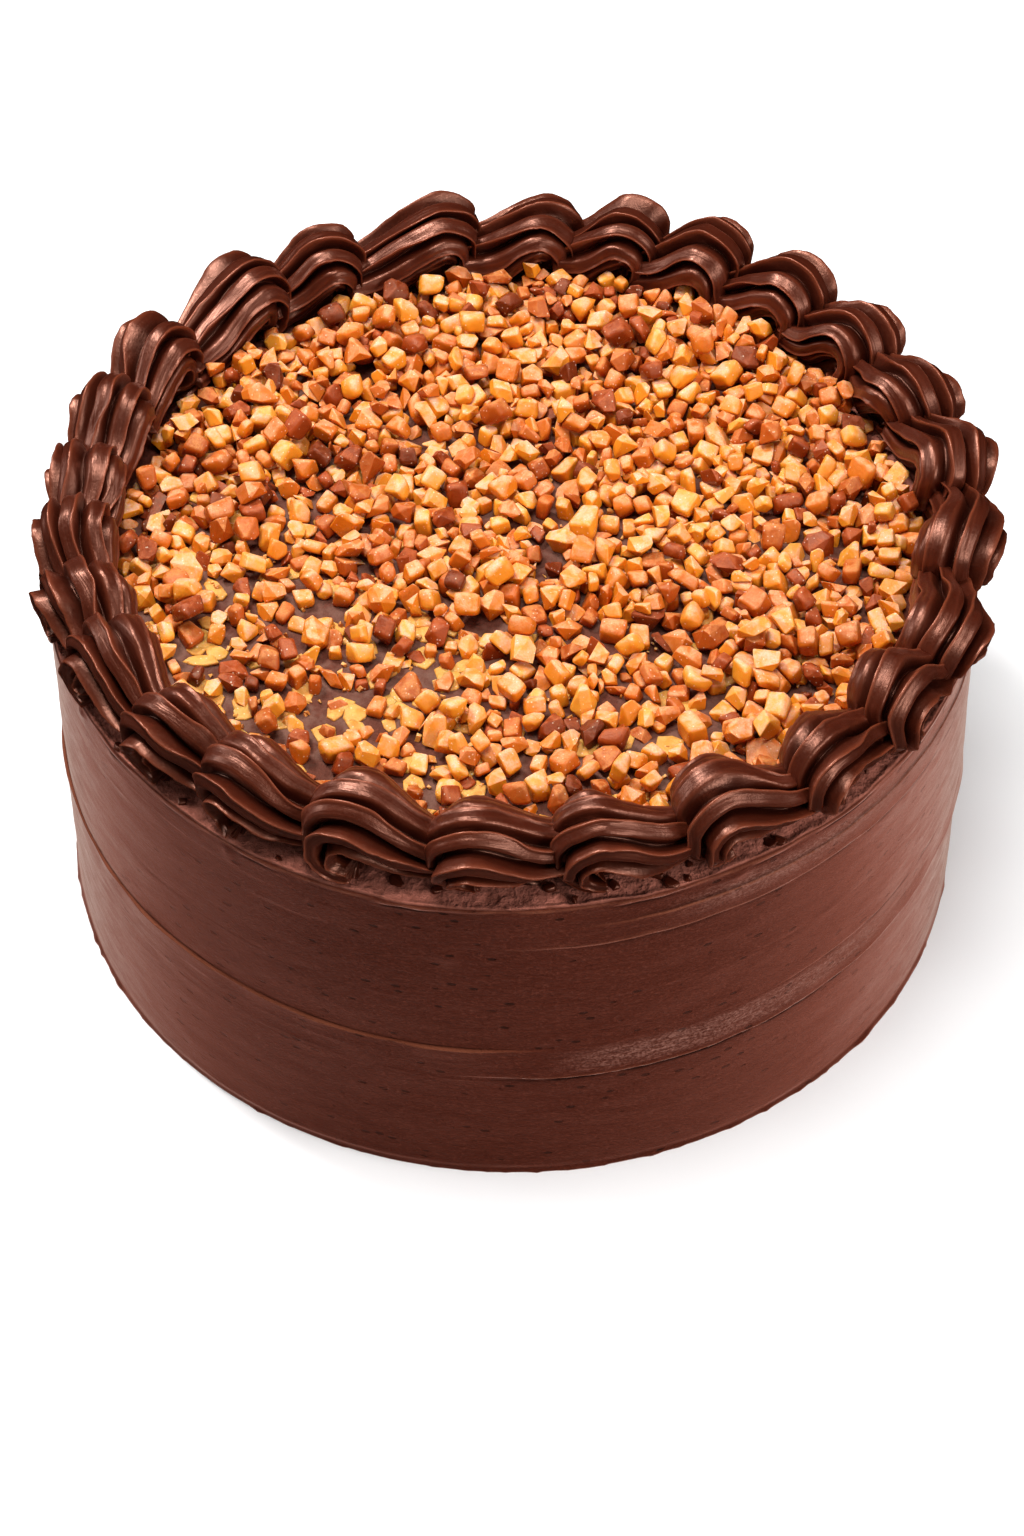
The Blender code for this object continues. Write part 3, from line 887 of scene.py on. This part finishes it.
def drop_places(draw):
    """Where the chunks start: in layers, thinner at the front and left, heaped along the back."""
    places = []
    while len(places) < BIT_COUNT:
        heaped = len(places) % 4 == 0
        behind = heaped and draw.random() < 0.55
        angle = math.radians(draw.gauss(88, 42)) if behind else draw.uniform(0, 2 * math.pi)
        share = draw.uniform(0.87, 1.0) if heaped else math.sqrt(draw.random())
        bare = 0.95 * max(share - 0.25, 0) * max(-math.sin(angle + 0.5), 0) + 0.05
        if not heaped and draw.random() < bare:
            continue
        layer = len(places) * DROP_LAYERS // BIT_COUNT
        size = draw.triangular(*BIT_SIZES) * MM
        reach = (FIELD_RADIUS - 1.5 * MM) * share
        height = (6 + 8 * layer + 10 * smooth((share - 0.92) * 12)) * MM
        places.append((reach * math.cos(angle), reach * math.sin(angle), height, size))
    return places


def temporary(mesh, place, turn=(0, 0, 0)):
    """An object for the simulation alone, removed once the chunks have come to rest."""
    obj = bpy.data.objects.new("temporary", mesh)
    bpy.context.scene.collection.objects.link(obj)
    obj.location = place
    obj.rotation_euler = turn
    return obj


def tray_mesh(grids):
    """The flat icing, the border's shells and an upright wall behind them."""
    shape = bmesh.new()
    sides = 48
    radius = RING_RADIUS * SIMULATION_SCALE
    ways = [2 * math.pi * k / sides for k in range(sides)]
    spots = [(radius * math.cos(way), radius * math.sin(way)) for way in ways]
    low = [shape.verts.new((x, y, 0)) for x, y in spots]
    high = [shape.verts.new((x, y, 12)) for x, y in spots]
    for k in range(sides):
        j = (k + 1) % sides
        shape.faces.new((low[j], low[k], high[k], high[j]))
    shape.faces.new(low)
    middle = np.array([*RING_CENTRE, TOP_HEIGHT])
    for grid in grids:
        corners = [shape.verts.new((point - middle) * SIMULATION_SCALE) for point in grid.reshape(-1, 3)]
        for quad in grid_faces(*grid.shape[:2]):
            shape.faces.new([corners[index] for index in quad])
    mesh = bpy.data.meshes.new("tray")
    shape.to_mesh(mesh)
    shape.free()
    return mesh


def settle(bits, grids):
    """Drops the chunks with Blender's rigid bodies and returns where each one comes to rest."""
    scene = bpy.context.scene
    tray = temporary(tray_mesh(grids), (0, 0, 0))
    bpy.ops.rigidbody.world_add()
    world = scene.rigidbody_world
    world.substeps_per_frame = 6
    world.solver_iterations = 10
    world.point_cache.frame_end = SETTLE_FRAMES
    world.collection = bpy.data.collections.new("falling")
    for obj in bits + [tray]:
        world.collection.objects.link(obj)
        body = obj.rigid_body
        body.type = "PASSIVE" if obj is tray else "ACTIVE"
        body.collision_shape = "MESH" if obj is tray else "CONVEX_HULL"
        body.friction = 0.9
        body.restitution = 0.0
        body.use_margin = True
        body.collision_margin = 0.0
        if obj is not tray:
            body.mass = 1.0
            body.linear_damping = 0.3
            body.angular_damping = 0.4
    for number in range(1, SETTLE_FRAMES + 1):
        scene.frame_set(number)
    rest = [obj.matrix_world.copy() for obj in bits]
    bpy.ops.rigidbody.world_remove()
    scene.frame_set(1)
    bpy.data.objects.remove(tray)
    return rest


# Kinds of toffee: piece, share of the chunks, light colour, deep colour, and the pale colour on top, partly
# dusty and bloomed, partly painted light from above
TOFFEE_KINDS = (
    ("toffee_golden", 0.29, (0.82, 0.33, 0.032), (0.72, 0.22, 0.006), (0.80, 0.45, 0.300)),
    ("toffee_orange", 0.27, (0.78, 0.265, 0.018), (0.62, 0.150, 0.004), (0.78, 0.40, 0.235)),
    ("toffee_amber", 0.20, (0.66, 0.170, 0.012), (0.46, 0.080, 0.003), (0.71, 0.325, 0.160)),
    ("toffee_caramel", 0.12, (0.48, 0.090, 0.008), (0.31, 0.044, 0.002), (0.58, 0.215, 0.065)),
    ("toffee_russet", 0.08, (0.31, 0.042, 0.004), (0.18, 0.019, 0.001), (0.41, 0.095, 0.030)),
    ("toffee_dark", 0.04, (0.18, 0.024, 0.003), (0.10, 0.010, 0.001), (0.26, 0.058, 0.022)),
)


def make_toffee(grids):
    """Chunks of broken toffee, at rest on the icing and against the border, one piece for each kind."""
    draw = random.Random(29)
    shapes, bits = [], []
    for x, y, z, size in drop_places(draw):
        shape = broken_chunk(draw, size * SIMULATION_SCALE)
        mesh = bpy.data.meshes.new("chunk")
        shape.to_mesh(mesh)
        turn = [draw.uniform(0, 2 * math.pi) for _ in range(3)]
        bits.append(temporary(mesh, Vector((x, y, z)) * SIMULATION_SCALE, turn))
        shapes.append((rounded(shape, size * SIMULATION_SCALE, draw.uniform(0.11, 0.19)), size))
    rest = settle(bits, grids)
    for bit in bits:
        bpy.data.objects.remove(bit)
    kinds = {kind[0]: ([], [], []) for kind in TOFFEE_KINDS}
    lift = Matrix.Translation((RING_CENTRE[0], RING_CENTRE[1], TOP_HEIGHT - SUNK_BITS))
    shrink = lift @ Matrix.Scale(1 / SIMULATION_SCALE, 4)
    for (shape, size), place in zip(shapes, rest):
        chosen = draw.random()
        for name, share, *_ in TOFFEE_KINDS:
            chosen -= share
            if chosen < 0:
                break
        points, faces, tones = kinds[name]
        tone = draw.random()
        start = len(points)
        to_world = shrink @ place
        across = math.hypot(place.translation.x, place.translation.y) / SIMULATION_SCALE
        high = place.translation.z / SIMULATION_SCALE
        at_edge = across > FIELD_RADIUS - EDGE_WIDTH
        strayed = high > (MOST_HEIGHT_AT_EDGE if at_edge else MOST_HEIGHT)
        if strayed or high < -10 * MM or across > FIELD_RADIUS + 2.5 * MM:
            continue
        shape.verts.index_update()
        local = np.array([vertex.co for vertex in shape.verts])
        worn = noise(local / (0.36 * size * SIMULATION_SCALE) + len(points), 71)[:, None]
        local *= 1 + WEAR * worn
        points.extend((to_world @ Vector(spot))[:] for spot in local)
        faces.extend(tuple(vertex.index + start for vertex in face.verts) for face in shape.faces)
        tones.extend([tone] * len(shape.verts))
        shape.free()
    for name, _, light, deep, bloom_and_top_light in TOFFEE_KINDS:
        points, faces, tones = kinds[name]
        piece = add_piece(name, points, faces, toffee_material(name, light, deep, bloom_and_top_light))
        flatten = piece.modifiers.new("flat_faces", "WEIGHTED_NORMAL")
        flatten.weight = 90
        add_values(piece, "tone", tones)
        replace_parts(piece, "frosted_cake")


def make_flakes(material):
    """Thin ragged plates of toffee that lie flat on the icing."""
    draw = random.Random(41)
    points, faces, tones = [], [], []
    for _ in range(FLAKE_COUNT):
        radius = (FIELD_RADIUS - 4 * MM) * math.sqrt(draw.uniform(0.1, 1.0))
        angle = FLAKE_MIDDLE + FLAKE_SPREAD * draw.gauss(0, 1)
        middle = Vector((radius * math.cos(angle), radius * math.sin(angle), 0))
        turn = Euler((draw.gauss(0, 0.05), draw.gauss(0, 0.05), draw.uniform(0, 2 * math.pi))).to_matrix()
        length, width = draw.uniform(2.6, 5.4) * MM, draw.uniform(2.0, 4.2) * MM
        sides = draw.choice((6, 7, 8, 9))
        outline = [draw.uniform(0.62, 1.0) for _ in range(sides)]
        start = len(points)
        for level, inset in ((-0.3, 1.0), (0.35, 1.0), (0.5, 0.86)):
            for k, reach in enumerate(outline):
                way = 2 * math.pi * k / sides
                far = reach * inset
                local = Vector((length * far * math.cos(way), width * far * math.sin(way), level * MM))
                points.append(field_place(middle + turn @ local))
        for ring in (0, sides):
            for k in range(sides):
                j = (k + 1) % sides
                corners = (ring + k, ring + j, ring + sides + j, ring + sides + k)
                faces.append(tuple(start + corner for corner in corners))
        faces.append(tuple(start + 2 * sides + k for k in range(sides)))
        faces.append(tuple(start + k for k in reversed(range(sides))))
        tones.extend([draw.random()] * (3 * sides))
    flakes = add_piece("toffee_flakes", points, faces, material)
    add_values(flakes, "tone", tones)
    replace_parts(flakes, "frosted_cake")


def make_crumbs(material):
    """Small broken grains among the chunks."""
    draw = random.Random(43)
    points, faces, tones = [], [], []
    for _ in range(CRUMB_COUNT):
        radius = FIELD_RADIUS * math.sqrt(draw.random())
        angle = draw.uniform(0, 2 * math.pi)
        size = draw.triangular(*CRUMB_SIZES) * MM
        middle = Vector((radius * math.cos(angle), radius * math.sin(angle), size * 0.3))
        shape = broken_chunk(draw, size)
        turn = Euler([draw.uniform(0, 2 * math.pi) for _ in range(3)]).to_matrix()
        start = len(points)
        shape.verts.index_update()
        points.extend(field_place(middle + turn @ vertex.co) for vertex in shape.verts)
        faces.extend(tuple(vertex.index + start for vertex in face.verts) for face in shape.faces)
        tones.extend([draw.random()] * len(shape.verts))
        shape.free()
    crumbs = add_piece("toffee_crumbs", points, faces, material)
    crumbs.data.shade_flat()
    add_values(crumbs, "tone", tones)
    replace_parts(crumbs, "frosted_cake")


def field_place(point):
    """A place given from the middle of the top icing, in the cake's frame."""
    return (point.x + RING_CENTRE[0], point.y + RING_CENTRE[1], point.z + TOP_HEIGHT)


def make_camera():
    data = bpy.data.cameras.new("camera")
    data.sensor_width = SENSOR
    data.lens = FOCAL_PIXELS * SENSOR / IMAGE_HEIGHT
    data.clip_start = 0.01
    camera = bpy.data.objects.new("camera", data)
    camera.location = CAMERA_PLACE
    camera.rotation_euler = (math.pi / 2 - CAMERA_PITCH, 0, 0)
    bpy.context.scene.collection.objects.link(camera)
    bpy.context.scene.camera = camera


# Soft lights: name, place, diameter in metres and power in watts
LIGHTS = (
    ("overhead", (0.0, -0.15, 1.05), 0.40, 7.5),
    ("key", (-0.38, 0.28, 0.90), 0.20, 8.6),
    ("front", (0.74, -0.77, 0.52), 0.40, 5.2),
    ("left_window", (-1.0, 0.25, 0.50), 0.40, 2.6),
    ("right_fill", (0.95, -0.30, 0.60), 0.40, 3.2),
)
WORLD_LIGHT = 0.20


def add_light(name, place, size, power):
    data = bpy.data.lights.new(name, "AREA")
    data.shape = "DISK"
    data.size = size
    data.energy = power
    light = bpy.data.objects.new(name, data)
    light.location = place
    target = Vector((0, 0, TOP_HEIGHT))
    light.rotation_euler = (target - Vector(place)).to_track_quat("-Z", "Y").to_euler()
    bpy.context.scene.collection.objects.link(light)


def make_studio():
    scene = bpy.context.scene
    scene.view_settings.view_transform = "Standard"
    world = bpy.data.worlds.new("studio")
    scene.world = world
    world.use_nodes = True
    back = world.node_tree.nodes["Background"]
    back.inputs["Color"].default_value = (1, 1, 1, 1)
    back.inputs["Strength"].default_value = WORLD_LIGHT
    world.cycles_visibility.glossy = False
    for light in LIGHTS:
        add_light(*light)


def make_floor():
    shape = bmesh.new()
    corners = [shape.verts.new((x, y, 0)) for x, y in ((-3, -3), (3, -3), (3, 3), (-3, 3))]
    shape.faces.new(corners)
    mesh = bpy.data.meshes.new("floor")
    shape.to_mesh(mesh)
    shape.free()
    nodes = Nodes("pale_floor")
    mist = nodes.noise(0.4, 2.0)
    colour = nodes.mix(mist, (0.90, 0.90, 0.90), (0.93, 0.93, 0.93))
    mesh.materials.append(nodes.finish(colour, 0.6, nodes.bump(mist, 0.1 * MM, 0.1)))
    floor = bpy.data.objects.new("floor", mesh)
    floor.visible_glossy = False
    bpy.context.scene.collection.objects.link(floor)
    floor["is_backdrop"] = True


def write_size():
    boxes = {"cad": cad_box, "visual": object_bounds()}
    {name: [list(corner) for corner in box] for name, box in boxes.items()}


make_camera()
make_studio()
make_floor()
make_drum(icing_material())
piped = piped_material()
make_toffee(make_shells(piped))
make_scraps(piped)
make_flakes(toffee_material("toffee_flake", *FLAKE_COLOURS))
make_crumbs(toffee_material("toffee_crumb", *CRUMB_COLOURS))
write_size()
